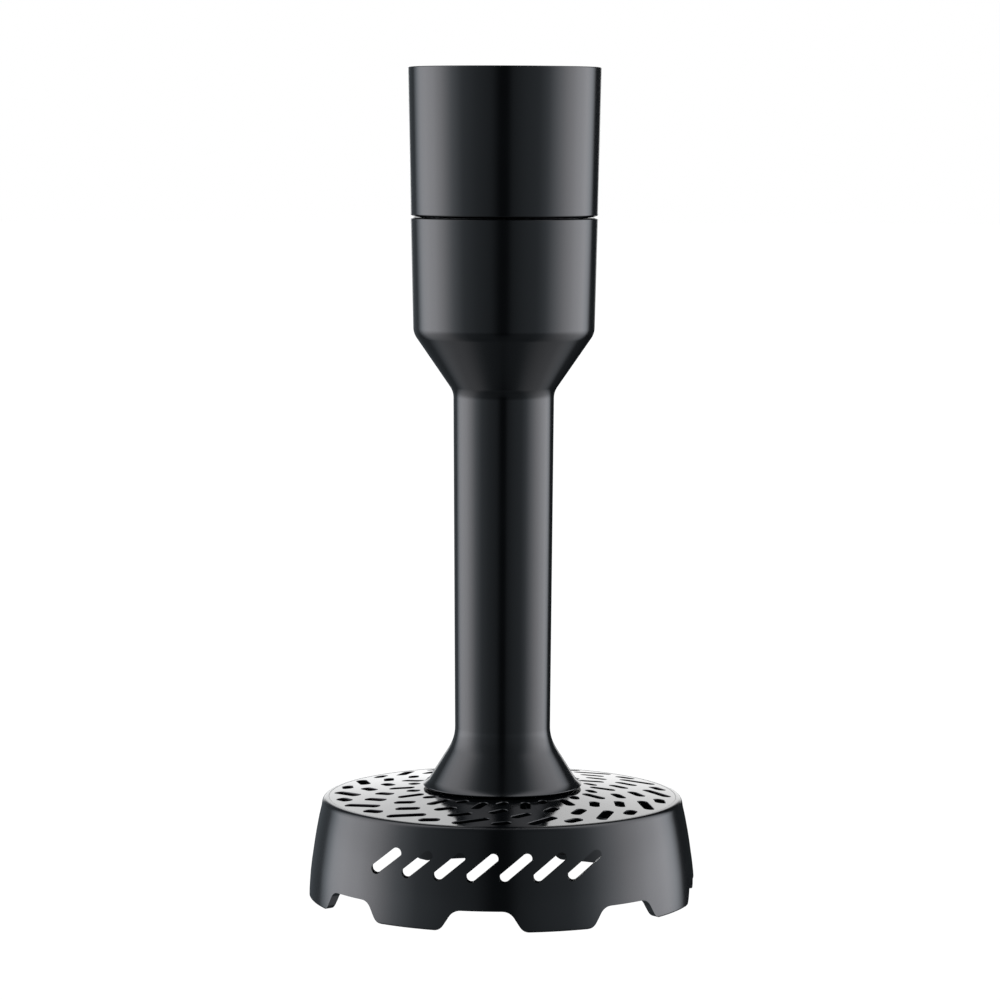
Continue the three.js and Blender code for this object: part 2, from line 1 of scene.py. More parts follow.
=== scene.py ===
# %% [markdown]
# # A masher attachment for a stick blender
# A stick blender's motor unit clicks into the collar at the top. A gear unit under it slows the motor down,
# a long shaft runs through the slim leg, and a swept paddle turns under a domed sieve foot and presses
# cooked potato through the slots. All the outer casings are black moulded plastic, so the whole picture is
# made of soft reflections, and clean surfaces matter more here than anything else.

import json
import math

import bpy
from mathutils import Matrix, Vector

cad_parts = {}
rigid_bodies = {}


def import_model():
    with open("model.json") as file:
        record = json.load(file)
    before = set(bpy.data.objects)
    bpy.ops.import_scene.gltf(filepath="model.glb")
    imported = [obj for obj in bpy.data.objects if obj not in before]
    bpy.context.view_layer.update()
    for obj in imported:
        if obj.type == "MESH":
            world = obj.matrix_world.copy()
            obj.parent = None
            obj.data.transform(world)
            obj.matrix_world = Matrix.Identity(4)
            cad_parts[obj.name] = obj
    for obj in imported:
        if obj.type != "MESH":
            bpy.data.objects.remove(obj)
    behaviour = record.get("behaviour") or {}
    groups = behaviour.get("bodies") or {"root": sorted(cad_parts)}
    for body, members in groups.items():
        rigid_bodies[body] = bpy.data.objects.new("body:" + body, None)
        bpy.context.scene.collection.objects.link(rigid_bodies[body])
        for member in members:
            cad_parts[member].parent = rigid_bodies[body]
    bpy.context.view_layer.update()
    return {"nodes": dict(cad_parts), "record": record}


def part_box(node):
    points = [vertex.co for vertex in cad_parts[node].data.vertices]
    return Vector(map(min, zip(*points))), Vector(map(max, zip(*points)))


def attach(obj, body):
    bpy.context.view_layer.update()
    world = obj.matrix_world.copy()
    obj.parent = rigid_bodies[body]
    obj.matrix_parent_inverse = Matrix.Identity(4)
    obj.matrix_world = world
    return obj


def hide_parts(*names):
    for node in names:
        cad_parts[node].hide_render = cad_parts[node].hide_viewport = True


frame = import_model()
scene = bpy.context.scene
MM = 0.001

# %% [markdown]
# ## The camera and the studio
# A long lens a metre away looks slightly down, so the leg's sides stay almost parallel. The turntable is
# turned about six degrees, and the lights are turned by the same angle, so that their bearings are counted
# from the camera's side.

# %% The camera
TURN = math.radians(5.9)
TILT = math.radians(90 - 5.577)
ROLL = math.radians(-0.2)
PAN = math.radians(0.07)
DISTANCE = 1.0645
EYE_HEIGHT = 0.2156
camera_data = bpy.data.cameras.new("product_camera")
camera_data.sensor_width = 36
camera_data.lens = 137.5
camera_data.clip_start = 0.05
camera = bpy.data.objects.new("product_camera", camera_data)
scene.collection.objects.link(camera)
camera.location = (DISTANCE * math.sin(TURN), -DISTANCE * math.cos(TURN), EYE_HEIGHT)
camera.rotation_euler = (TILT, ROLL, TURN + PAN)
scene.camera = camera
scene.view_settings.view_transform = "Standard"
print("camera is", round(camera.location.length, 3), "m from the foot")

# %% [markdown]
# ## Light for a black glossy object
# A black object shows only what it reflects. A ring of real softboxes would do, but a world that is painted
# by direction gives the same reflections with no noise and no edges to hide: a bright soft panel on each
# side, a dim front with a dark gap where the camera stands, and a pale sweep behind. A few helpers come
# first, because node trees are built by script here.

# %% Small helpers for node trees
def add_node(tree, kind, **settings):
    """A new node, with its properties set by name."""
    node = tree.nodes.new(kind)
    for name, value in settings.items():
        setattr(node, name, value)
    return node


def paint_ramp(node, stops):
    """Gives a colour ramp its grey or coloured stops, as (position, value or colour)."""
    ramp = node.color_ramp
    ramp.elements.remove(ramp.elements[1])
    ramp.elements[0].position = stops[0][0]
    for position, _ in stops[1:]:
        ramp.elements.new(position)
    for element, (_, value) in zip(ramp.elements, stops):
        colour = value if isinstance(value, tuple) else (value, value, value)
        element.color = (*colour, 1)


def mixed(tree, blend, first, second):
    """The output of a colour mix of two sockets, at full strength."""
    mix = add_node(tree, "ShaderNodeMix", data_type="RGBA", blend_type=blend)
    mix.inputs["Factor"].default_value = 1
    tree.links.new(first, mix.inputs[6])
    tree.links.new(second, mix.inputs[7])
    return mix.outputs[2]


print("a ramp takes stops such as (0.5, 1.0), or (0.5, (1.0, 0.9, 0.8))")

# %% [markdown]
# ## The world by direction
# Every direction has a bearing, measured from the camera's side, and a height. Both are scaled to a share
# from 0 to 1, so that each can drive a colour ramp. Nothing here depends on where the camera is: the ramps
# are only turned once by the same angle as the camera.

# %% Bearing and height of each direction
world = bpy.data.worlds.new("soft_studio")
scene.world = world
world.use_nodes = True
sky = world.node_tree
sky.nodes.clear()
direction = add_node(sky, "ShaderNodeTexCoord")
turned_to_camera = add_node(sky, "ShaderNodeMapping")
turned_to_camera.inputs["Rotation"].default_value = (0, 0, -TURN)
sky.links.new(direction.outputs["Generated"], turned_to_camera.inputs["Vector"])
parts = add_node(sky, "ShaderNodeSeparateXYZ")
sky.links.new(turned_to_camera.outputs["Vector"], parts.inputs["Vector"])
forward = add_node(sky, "ShaderNodeMath", operation="MULTIPLY")
forward.inputs[1].default_value = -1
sky.links.new(parts.outputs["Y"], forward.inputs[0])
bearing = add_node(sky, "ShaderNodeMath", operation="ARCTAN2")
sky.links.new(parts.outputs["X"], bearing.inputs[0])
sky.links.new(forward.outputs[0], bearing.inputs[1])
round_share = add_node(sky, "ShaderNodeMapRange")
round_share.inputs["From Min"].default_value = -math.pi
round_share.inputs["From Max"].default_value = math.pi
sky.links.new(bearing.outputs[0], round_share.inputs["Value"])
height_share = add_node(sky, "ShaderNodeMapRange")
height_share.inputs["From Min"].default_value = -1
sky.links.new(parts.outputs["Z"], height_share.inputs["Value"])
print("the dark gap faces", round(math.degrees(TURN), 1), "degrees from -Y")

# %% [markdown]
# ## The panels
# Each panel is a list of bearings in degrees with a brightness. Dim stops lean to blue and bright ones are
# almost neutral, as in a studio where the shadows are lit by the room. A second ramp, from straight down to
# straight up, is multiplied in, so that the panels are brightest near the horizon.

# %% Brightness round the horizon and up the wall
STRENGTH = 4


def cooled(value):
    """A grey that leans to blue, more so when it is dim."""
    shade = max(0, 1 - value / 3)
    return tuple(value / STRENGTH * c for c in (0.99 - 0.12 * shade, 1, 1.06 + 0.06 * shade))


LEFT_PANEL = [
    (-180, 0.1), (-160, 0.15), (-139, 0.15), (-131, 1.0), (-122, 2.4), (-110, 3.4), (-95, 3.9), (-82, 3.2),
    (-66, 1.5), (-52, 0.68), (-34, 0.42), (-16, 0.28), (-6, 0.05),
]
RIGHT_PANEL = [
    (4, 0.05), (10, 0.24), (24, 0.38), (42, 0.5), (54, 0.9), (68, 2.1), (82, 3.2), (98, 3.8), (116, 3.35),
    (127, 2.0), (138, 0.04), (180, 0.02),
]
horizon = add_node(sky, "ShaderNodeValToRGB")
paint_ramp(horizon, [(0.5 + a / 360, cooled(v)) for a, v in LEFT_PANEL + RIGHT_PANEL])
sky.links.new(round_share.outputs["Result"], horizon.inputs["Fac"])
height = add_node(sky, "ShaderNodeValToRGB")
paint_ramp(height, [
    (0.0, 0.13), (0.12, 0.16), (0.33, 0.46), (0.44, 0.93), (0.49, 1.0), (0.54, 0.86), (0.62, 0.84),
    (0.75, 0.7), (1.0, 0.5),
])
sky.links.new(height_share.outputs["Result"], height.inputs["Fac"])
panels = mixed(sky, "MULTIPLY", horizon.outputs["Color"], height.outputs["Color"])
print("the brightest stop is", max(v for _, v in LEFT_PANEL + RIGHT_PANEL))

# %% [markdown]
# ## The sweep and the glow from below
# A narrow pale sweep stands straight behind the object and whitens the top of the sieve, which is seen
# almost edge on. A faint glow comes from the ground, so that surfaces that face down aren't pitch black.

# %% Add the sweep and the glow, then light the scene
behind = add_node(sky, "ShaderNodeValToRGB")
paint_ramp(behind, [(0.0, 1.0), (0.035, 1.0), (0.055, 0.0), (0.945, 0.0), (0.965, 1.0), (1.0, 1.0)])
sky.links.new(round_share.outputs["Result"], behind.inputs["Fac"])
above_ground = add_node(sky, "ShaderNodeValToRGB")
paint_ramp(above_ground, [(0.47, 0.0), (0.49, 0.4), (0.56, 0.42), (0.7, 0.46), (0.85, 0.1)])
sky.links.new(height_share.outputs["Result"], above_ground.inputs["Fac"])
sweep = mixed(sky, "MULTIPLY", behind.outputs["Color"], above_ground.outputs["Color"])
glow = add_node(sky, "ShaderNodeValToRGB")
paint_ramp(glow, [(0.0, cooled(0.12)), (0.2, cooled(0.08)), (0.35, cooled(0.0))])
sky.links.new(height_share.outputs["Result"], glow.inputs["Fac"])
background = add_node(sky, "ShaderNodeBackground")
background.inputs["Strength"].default_value = STRENGTH
all_light = mixed(sky, "ADD", mixed(sky, "ADD", panels, sweep), glow.outputs["Color"])
sky.links.new(all_light, background.inputs["Color"])
world_output = add_node(sky, "ShaderNodeOutputWorld")
sky.links.new(background.outputs["Background"], world_output.inputs["Surface"])
print("world has", len(sky.nodes), "nodes")

# %% [markdown]
# ## Tools for working by hand
# Every casing here was turned or moulded round one axis. The potter's way suits it: take a circle, pull it
# up ring by ring and scale it as it goes. The profile is written as corners with their own radii, so an
# edge radius is changed in one place.

# %% Picking up and putting down
def put_down():
    """Leaves edit mode and selects nothing, because an operator acts on all that is selected."""
    if bpy.context.object and bpy.context.object.mode != "OBJECT":
        bpy.ops.object.mode_set(mode="OBJECT")
    bpy.ops.object.select_all(action="DESELECT")


def pick_up(*pieces):
    """Selects these pieces and makes the first one active."""
    put_down()
    for piece in pieces:
        piece.select_set(True)
    bpy.context.view_layer.objects.active = pieces[0]


def edit(piece, select="SELECT"):
    """Enters edit mode with everything selected, or nothing."""
    pick_up(piece)
    bpy.ops.object.mode_set(mode="EDIT")
    bpy.ops.mesh.select_all(action=select)


def choose(piece, wanted):
    """Enters edit mode with only the vertices selected that a test on their place picks."""
    edit(piece, "DESELECT")
    bpy.ops.object.mode_set(mode="OBJECT")
    for vertex in piece.data.vertices:
        vertex.select = wanted(vertex.co)
    bpy.ops.object.mode_set(mode="EDIT")


put_down()
print("selected now:", len(bpy.context.selected_objects))


# %% Rounding the corners of a profile
def soften(corners, steps=5):
    """Turns (radius, z, fillet) corners into points, with an arc at each corner that has a fillet."""
    points = []
    for i, (r, z, fillet) in enumerate(corners):
        here = Vector((r, z))
        if not fillet:
            points.append((r, z))
            continue
        back = (Vector(corners[i - 1][:2]) - here).normalized()
        on = (Vector(corners[(i + 1) % len(corners)][:2]) - here).normalized()
        half = back.angle(on) / 2
        centre = here + (back + on).normalized() * (fillet / math.sin(half))
        start = here + back * (fillet / math.tan(half)) - centre
        end = here + on * (fillet / math.tan(half)) - centre
        sweep_angle = math.atan2(start.x * end.y - start.y * end.x, start.dot(end))
        for k in range(steps + 1):
            a = sweep_angle * k / steps
            x = start.x * math.cos(a) - start.y * math.sin(a)
            y = start.x * math.sin(a) + start.y * math.cos(a)
            points.append((centre.x + x, centre.y + y))
    return points


print("one rounded and two sharp corners make", len(soften([(1, 0, 0.2), (2, 0, 0), (2, 1, 0)])), "points")


# %% Turning a body, ring by ring
def turned(name, rings, facets):
    """A circle at the first ring is extruded and scaled to each next one, and ends where it began."""
    put_down()
    radius, z = rings[0]
    bpy.ops.mesh.primitive_circle_add(vertices=facets, radius=radius * MM, location=(0, 0, z * MM))
    piece = bpy.context.object
    piece.name = piece.data.name = name
    bpy.ops.object.transform_apply(location=True)
    edit(piece)
    for next_radius, next_z in rings[1:] + rings[:1]:
        bpy.ops.mesh.extrude_region_move(TRANSFORM_OT_translate={"value": (0, 0, (next_z - z) * MM)})
        scale = next_radius / radius
        bpy.ops.transform.resize(value=(scale, scale, 1), center_override=(0, 0, next_z * MM))
        radius, z = next_radius, next_z
    bpy.ops.mesh.select_all(action="SELECT")
    bpy.ops.mesh.remove_doubles(threshold=1e-6)
    bpy.ops.mesh.normals_make_consistent(inside=False)
    put_down()
    return piece


# %% How large a piece is
def tell(piece):
    """Prints how wide and how tall a piece is, in millimetres."""
    across = [v.co.x / MM for v in piece.data.vertices]
    upright = [v.co.z / MM for v in piece.data.vertices]
    wide = round(max(across) - min(across), 1)
    tall = round(max(upright) - min(upright), 1)
    print(piece.name, "is", wide, "mm wide and", tall, "mm tall")


# %% Drawing a flat outline and making it thick
def drawn(name, points, low, high):
    """Draws an outline by extruding one vertex from point to point, fills it and extrudes it upwards."""
    put_down()
    bpy.ops.mesh.primitive_plane_add(size=0.001, location=(points[0][0] * MM, points[0][1] * MM, low * MM))
    piece = bpy.context.object
    piece.name = piece.data.name = name
    bpy.ops.object.transform_apply(location=True)
    edit(piece)
    bpy.ops.mesh.merge(type="CENTER")
    bpy.ops.mesh.select_all(action="SELECT")
    for (x0, y0), (x1, y1) in zip(points, points[1:] + points[:1]):
        step = ((x1 - x0) * MM, (y1 - y0) * MM, 0)
        bpy.ops.mesh.extrude_region_move(TRANSFORM_OT_translate={"value": step})
    bpy.ops.mesh.select_all(action="SELECT")
    bpy.ops.mesh.remove_doubles(threshold=1e-6)
    bpy.ops.mesh.edge_face_add()
    bpy.ops.mesh.extrude_region_move(TRANSFORM_OT_translate={"value": (0, 0, (high - low) * MM)})
    bpy.ops.mesh.select_all(action="SELECT")
    bpy.ops.mesh.normals_make_consistent(inside=False)
    put_down()
    return piece


# %% Moving, copying, joining and cutting
def shift(piece, x=0, y=0, z=0):
    """Moves a piece's mesh, in millimetres."""
    edit(piece)
    bpy.ops.transform.translate(value=(x * MM, y * MM, z * MM))
    put_down()


def swing(piece, degrees, axis="Z"):
    """Turns a piece's mesh about the origin. Without a window transform.rotate turns the other way round."""
    edit(piece)
    bpy.ops.transform.rotate(value=-math.radians(degrees), orient_axis=axis, center_override=(0, 0, 0))
    put_down()


def copies_round(piece, count):
    """Copies a piece round the Z axis, and joins the copies into it."""
    ring = [piece]
    for k in range(1, count):
        pick_up(piece)
        bpy.ops.object.duplicate()
        ring.append(bpy.context.object)
        swing(ring[-1], 360 * k / count)
    pick_up(*ring)
    bpy.ops.object.join()
    put_down()
    return piece


def combine(piece, tool, operation="DIFFERENCE"):
    """Cuts a tool out of a piece, or joins it on, and throws the tool away."""
    pick_up(piece)
    modifier = piece.modifiers.new("combine", "BOOLEAN")
    modifier.operation = operation
    modifier.solver = "EXACT"
    modifier.object = tool
    bpy.ops.object.modifier_apply(modifier=modifier.name)
    bpy.data.objects.remove(tool)
    put_down()


CREASE = math.radians(35)


def finish_surface(piece, bevel=0, segments=2):
    """A fine bevel where asked for, then smooth shading that keeps big faces flat beside small ones."""
    pick_up(piece)
    if bevel:
        modifier = piece.modifiers.new("edges", "BEVEL")
        modifier.width = bevel * MM
        modifier.segments = segments
        modifier.angle_limit = CREASE
        bpy.ops.object.modifier_apply(modifier=modifier.name)
    bpy.ops.object.shade_smooth_by_angle(angle=CREASE)
    weights = piece.modifiers.new("weights", "WEIGHTED_NORMAL")
    weights.keep_sharp = True
    weights.weight = 90
    bpy.ops.object.modifier_apply(modifier=weights.name)
    put_down()
    print(piece.name, "has", sum(len(p.vertices) - 2 for p in piece.data.polygons), "triangles")


# %% [markdown]
# ## The socket collar
# The collar is the outer casing of the gear unit. It widens slightly towards the top, where the motor unit
# goes in, and its lower edge is chamfered to make half of the V groove at the seam.

# %% The collar's wall
collar_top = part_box("gear_collar")[1].z / MM
collar = turned("socket_collar", soften([
    (23.5, 190.85, 0.2), (25.2, 190.85, 0.1), (26.08, 191.35, 0.4), (26.94, collar_top, 0.35),
    (24.3, collar_top, 0.5), (24.3, 218.3, 0), (23.5, 217.9, 0),
]), facets=192)
tell(collar)


# %% Catches for the motor unit, made by spinning a small square
def curved_block(name, inner, outer, low, high, middle, span):
    """A block that follows the wall: a rectangle beside the axis, spun through an angle."""
    put_down()
    bpy.ops.mesh.primitive_plane_add(size=1, rotation=(math.pi / 2, 0, 0))
    piece = bpy.context.object
    piece.name = name
    bpy.ops.object.transform_apply(rotation=True)
    edit(piece)
    bpy.ops.transform.resize(value=((outer - inner) * MM, 1, (high - low) * MM), center_override=(0, 0, 0))
    bpy.ops.transform.translate(value=((outer + inner) / 2 * MM, 0, (high + low) / 2 * MM))
    bpy.ops.mesh.spin(steps=10, angle=math.radians(span), center=(0, 0, 0), axis=(0, 0, 1))
    bpy.ops.mesh.select_all(action="SELECT")
    bpy.ops.mesh.remove_doubles(threshold=1e-7)
    put_down()
    close_ends(piece)
    centre = sum((v.co for v in piece.data.vertices), Vector())
    swing(piece, middle - math.degrees(math.atan2(centre.x, -centre.y)))
    pick_up(piece)
    bevel = piece.modifiers.new("edge", "BEVEL")
    bevel.width = 0.3 * MM
    bevel.segments = 3
    bpy.ops.object.modifier_apply(modifier=bevel.name)
    put_down()
    return piece


def close_ends(piece):
    """Fills any open boundary and points all faces outwards."""
    edit(piece, "DESELECT")
    bpy.ops.mesh.select_non_manifold(extend=False, use_wire=False, use_multi_face=False,
                                     use_non_contiguous=False, use_verts=False)
    bpy.ops.mesh.edge_face_add()
    bpy.ops.mesh.select_all(action="SELECT")
    bpy.ops.mesh.normals_make_consistent(inside=False)
    put_down()


# %% Join the catches on and finish the collar
for azimuth in (30, 150, 270):
    catch = curved_block("catch", inner=22.5, outer=24.6, low=225.6, high=228.4, middle=azimuth, span=26)
    combine(collar, catch, "UNION")
finish_surface(collar)
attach(collar, "gear_unit")
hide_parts("gear_collar")

# %% [markdown]
# ## The leg
# One moulding runs from the cup under the seam, down a cone, along the slim shank and out in a flare to the
# sieve. It could be joined from a cylinder and two cones, but the eye reads the blends between them in a
# reflection, so the whole profile is turned in one go, with an arc at each blend.

# %% The leg's wall
leg_base, leg_top = (corner.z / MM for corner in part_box("leg_shell"))
leg = turned("leg_casing", soften([
    (19.2, leg_base, 0.2), (22.6, leg_base, 0.2), (22.3, 31.5, 0), (20.6, 32.9, 0), (13.35, 44.4, 11.5),
    (14.05, 142.1, 5.5), (25.25, 158.4, 5.5), (26.08, 190.4, 0.2), (25.2, leg_top, 0.1),
    (23.4, leg_top, 0.15), (23.2, 163.6, 0), (22.4, 159.6, 3), (11.5, 143.2, 3), (10.9, 45.2, 6),
], steps=8), facets=192)
tell(leg)

# %% The bayonet lips and their stops inside the leg
STOP_OFFSET = 18.1
for azimuth in (0, 120, 240):
    lip = curved_block("lip", inner=20.3, outer=24, low=176.4, high=179.2, middle=azimuth, span=46)
    combine(leg, lip, "UNION")
    middle = azimuth - STOP_OFFSET
    stop = curved_block("stop", inner=20.3, outer=24, low=172.4, high=177, middle=middle, span=5)
    combine(leg, stop, "UNION")
finish_surface(leg)
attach(leg, "leg")
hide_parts("leg_shell")

# %% [markdown]
# ## Screw bosses
# The sieve and the bell are screwed to the leg from below. Each screw bites into a hollow post inside the
# flare. The posts could be cut with the leg, but as pieces of their own they stay clean and easy to change.

# %% Bosses for the three foot screws
FOOT_CIRCLE = 13.6
FOOT_AZIMUTHS = (60, 180, 300)


def boss(azimuth):
    """A hollow post that stands on the foot's joint and takes one screw."""
    post = turned(f"screw_boss_{azimuth}", soften([
        (1.45, 31.4, 0), (2.6, 31.4, 0.2), (2.6, 37.4, 0.5), (1.45, 37.4, 0.2),
    ]), facets=32)
    shift(post, y=-FOOT_CIRCLE)
    swing(post, azimuth)
    finish_surface(post)
    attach(post, "leg")
    return post


bosses = [boss(azimuth) for azimuth in FOOT_AZIMUTHS]

# %% [markdown]
# ## The foot bell
# The bell is a skirt that leans out as it goes down. Steam and potato leave through two groups of slanted
# slots, and the rim is notched so that it doesn't stick to the pan. Both are cut: one slot and one notch are
# drawn, copied, and taken out of a plain turned wall.

# %% The bell's wall
bell = turned("foot_bell", soften([
    (52.1, 0, 0.5), (54.48, 0, 0.5), (54.36, 2.2, 0), (54.2, 4.3, 0), (53.97, 7.1, 0), (53.63, 10, 0),
    (53.22, 12.8, 0), (52.8, 15.7, 0), (52.34, 18.5, 0), (51.6, 22.4, 0), (50.95, 25.2, 0),
    (50.5, 27.98, 1.75), (48.87, 27.98, 0.06), (48.87, 25.4, 0), (46.9, 25.4, 0), (46.9, 24.2, 0.2),
    (48.2, 24.2, 0.8), (49.7, 18.5, 0), (50.2, 15.7, 0), (50.6, 12.8, 0), (51.0, 10, 0), (51.3, 7.1, 0),
    (51.6, 3, 0),
]), facets=240)
tell(bell)


# %% A cutter with round ends, for the side slots and for the sieve
def slot_cutter(name, length, width, depth, mouth=0, facets=20):
    """A stadium from a depth up to z 0. With a mouth it flares at the top, to round the hole's edge."""
    put_down()
    bpy.ops.mesh.primitive_circle_add(vertices=facets, radius=width / 2 * MM, fill_type="NGON",
                                      rotation=(0, 0, math.pi / facets), location=(0, 0, -depth * MM))
    piece = bpy.context.object
    piece.name = name
    bpy.ops.object.transform_apply(location=True, rotation=True)
    for side in (-1, 1):
        choose(piece, lambda place: place.x * side > 0)
        bpy.ops.transform.translate(value=(side * (length - width) / 2 * MM, 0, 0))
    bpy.ops.mesh.select_all(action="SELECT")
    reached, grown = -depth, 0
    flare = [(0, 0)]
    if mouth:
        arc = [(-mouth, 0), (-mouth * 0.5, mouth * 0.13), (-mouth * 0.13, mouth * 0.5)]
        flare = arc + [(0, mouth), (1, mouth * 4)]
    for z, grow in flare:
        bpy.ops.mesh.extrude_region_move(TRANSFORM_OT_translate={"value": (0, 0, (z - reached) * MM)})
        scale = [(size + 2 * grow) / (size + 2 * grown) for size in (length, width)]
        bpy.ops.transform.resize(value=(*scale, 1), center_override=(0, 0, z * MM))
        reached, grown = z, grow
    bpy.ops.mesh.select_all(action="SELECT")
    bpy.ops.mesh.normals_make_consistent(inside=False)
    put_down()
    return piece


# %% Two groups of seven slanted side slots, all cut straight through from the front and the back
SIDE_SLOTS = 7
SLOT_LEAN = 40
SLOT_PITCH = 9
SLOT_HEIGHT = 17.2
OUTSIDE = 60
slots = []
for k in range(SIDE_SLOTS):
    cutter = slot_cutter("side_slot", length=10.6, width=2.8, depth=24)
    swing(cutter, SLOT_LEAN)
    swing(cutter, 90, "X")
    shift(cutter, x=(k - SIDE_SLOTS // 2) * SLOT_PITCH, y=-OUTSIDE, z=SLOT_HEIGHT)
    slots.append(cutter)
pick_up(*slots)
bpy.ops.object.join()
combine(bell, copies_round(slots[0], 2))
print("the bell has", 2 * SIDE_SLOTS, "side slots")

# %% Eight notches in the rim
notch = drawn("rim_notch", soften([
    (-14, -3, 0), (14, -3, 0), (14, 0, 0), (11.4, 0, 3.4), (7.7, 5.75, 3.8), (-7.7, 5.75, 3.8),
    (-11.4, 0, 3.4), (-14, 0, 0),
], steps=6), low=44, high=OUTSIDE)
swing(notch, 90, "X")
combine(bell, copies_round(notch, 8))
finish_surface(bell)
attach(bell, "leg")
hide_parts("foot_skirt")

# %% [markdown]
# ## The sieve
# The sieve is a very shallow cone with fourteen equal sectors. Each sector has six slanted holes, from long
# outer ones to short inner ones, and every hole's edge is softened. The holes of one sector are placed by
# bearing, radius and lean, and that sector is copied round.

# %% The plate before it is pierced
HUB_RADIUS = 21.3
HUB_HEIGHT = 30.6
SLOPE = (HUB_HEIGHT - 27.95) / (48.6 - HUB_RADIUS)
sieve = turned("sieve_disc", soften([
    (8.7, 28.45, 0), (HUB_RADIUS, 28.35, 0), (48.82, 25.75, 0), (48.82, 27.95, 0.05),
    (HUB_RADIUS, HUB_HEIGHT, 0), (8.7, 30.85, 0.2),
]), facets=168)
tell(sieve)

# %% One sector of holes, then all fourteen
SECTORS = 14
SECTOR_HOLES = [
    # bearing, radius, length, width, lean
    (20.4, 43.6, 10.8, 2.9, 35),
    (5.6, 45.2, 5.8, 3.0, 20),
    (13.9, 37.8, 6.8, 2.8, 34),
    (3.9, 33.6, 6.0, 2.8, 40),
    (18.9, 28.3, 7.2, 2.7, 77),
    (5.9, 25.6, 4.0, 2.6, 45),
]
holes = []
for bearing_of_hole, radius, length, width, lean in SECTOR_HOLES:
    hole = slot_cutter("hole", length, width, depth=6, mouth=0.22, facets=16)
    swing(hole, lean)
    swing(hole, math.degrees(math.atan(SLOPE)), "X")
    shift(hole, y=-radius, z=HUB_HEIGHT - (radius - HUB_RADIUS) * SLOPE)
    swing(hole, bearing_of_hole)
    holes.append(hole)
pick_up(*holes)
bpy.ops.object.join()
combine(sieve, copies_round(holes[0], SECTORS))
finish_surface(sieve)
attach(sieve, "leg")
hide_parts("sieve_plate")
print("sieve has", SECTORS * len(SECTOR_HOLES), "holes")

# %% [markdown]
# ## The paddle under the sieve
# Three curved blades sweep the potato outwards. A blade is a flat bar that is pulled out step by step, turned
# a little at each step, and made lower towards its tip. The hub is turned with a deep socket for the shaft.

# %% One blade
BLADE_MIDDLE = 20.8
BLADE_THICKNESS = 2.8
ROOT_HEIGHT = 11
TIP_HEIGHT = 4.6
STEPS = 16
STEP_LENGTH = 2.85
STEP_TURN = math.radians(3.9)
STEP_LIFT = 0.09


def blade():
    """A bar from the hub towards the bell's wall, pulled out along an arc."""
    put_down()
    bpy.ops.mesh.primitive_cube_add(size=1)
    piece = bpy.context.object
    piece.name = "blade"
    edit(piece)
    size = (BLADE_THICKNESS * MM, 1 * MM, ROOT_HEIGHT * MM)
    bpy.ops.transform.resize(value=size, center_override=(0, 0, 0))
    bpy.ops.transform.translate(value=(0, -4 * MM, BLADE_MIDDLE * MM))
    choose(piece, lambda place: place.y < -4 * MM)
    place, heading, tall_before = Vector((0, -4.5)), math.radians(-90), ROOT_HEIGHT
    for k in range(STEPS):
        heading += STEP_TURN
        move = Vector((math.cos(heading), math.sin(heading))) * STEP_LENGTH
        bpy.ops.mesh.extrude_region_move(TRANSFORM_OT_translate={"value": (move.x * MM, move.y * MM, 0)})
        place += move
        middle = (place.x * MM, place.y * MM, BLADE_MIDDLE * MM)
        bpy.ops.transform.rotate(value=-STEP_TURN, orient_axis="Z", center_override=middle)
        tall = ROOT_HEIGHT - (ROOT_HEIGHT - TIP_HEIGHT) * (k + 1) / STEPS
        bpy.ops.transform.resize(value=(1, 1, tall / tall_before), center_override=middle)
        tall_before = tall
        if k > 1:
            bpy.ops.transform.translate(value=(0, 0, STEP_LIFT * MM))
    put_down()
    return piece


print("a blade is pulled out over", round(STEPS * STEP_LENGTH, 1), "mm")


# %% The hub and the blades
paddle = turned("swept_paddle", soften([
    (0.01, 12.9, 0), (4.6, 12.9, 0.6), (7.9, 14.6, 2.2), (8.0, 27.7, 0.5), (6.9, 27.7, 0.2), (6.9, 26.2, 0),
    (5.6, 26.2, 0), (5.6, 15.8, 0), (0.01, 15.8, 0),
]), facets=72)
combine(paddle, copies_round(blade(), 3), "UNION")
print("paddle reaches", round(max(v.co.xy.length for v in paddle.data.vertices) / MM, 1), "mm")
finish_surface(paddle, bevel=0.35)
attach(paddle, "paddle")
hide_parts("mash_paddle")

# %% [markdown]
# ## Inside the socket
# Looking down into the collar, a plate closes the gear unit. It carries three screws in counterbores and a
# raised ring round the driver. The driver has six lobes, which the motor's coupling drops over.

# %% The socket floor
floor_plate = turned("socket_floor", soften([
    (5.35, 212.2, 0), (8, 212.2, 0.2), (8, 215.5, 0.4), (23.2, 215.5, 0.2), (23.2, 218, 0.2),
    (18.4, 218, 0.2), (18.2, 217.5, 0.2), (9.4, 217.5, 0.2), (9.2, 218, 0.2), (5.35, 218, 0.15),
]), facets=96)
PLATE_CIRCLE = 20.9
PLATE_AZIMUTHS = (90, 210, 330)
for azimuth in PLATE_AZIMUTHS:
    drill = turned("counterbore", [
        (0.01, 214), (1.25, 214), (1.25, 216.1), (2.05, 216.1), (2.05, 219), (0.01, 219),
    ], facets=32)
    shift(drill, y=-PLATE_CIRCLE)
    swing(drill, azimuth)
    combine(floor_plate, drill)
finish_surface(floor_plate, bevel=0.12)
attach(floor_plate, "gear_unit")
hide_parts("socket_plate")

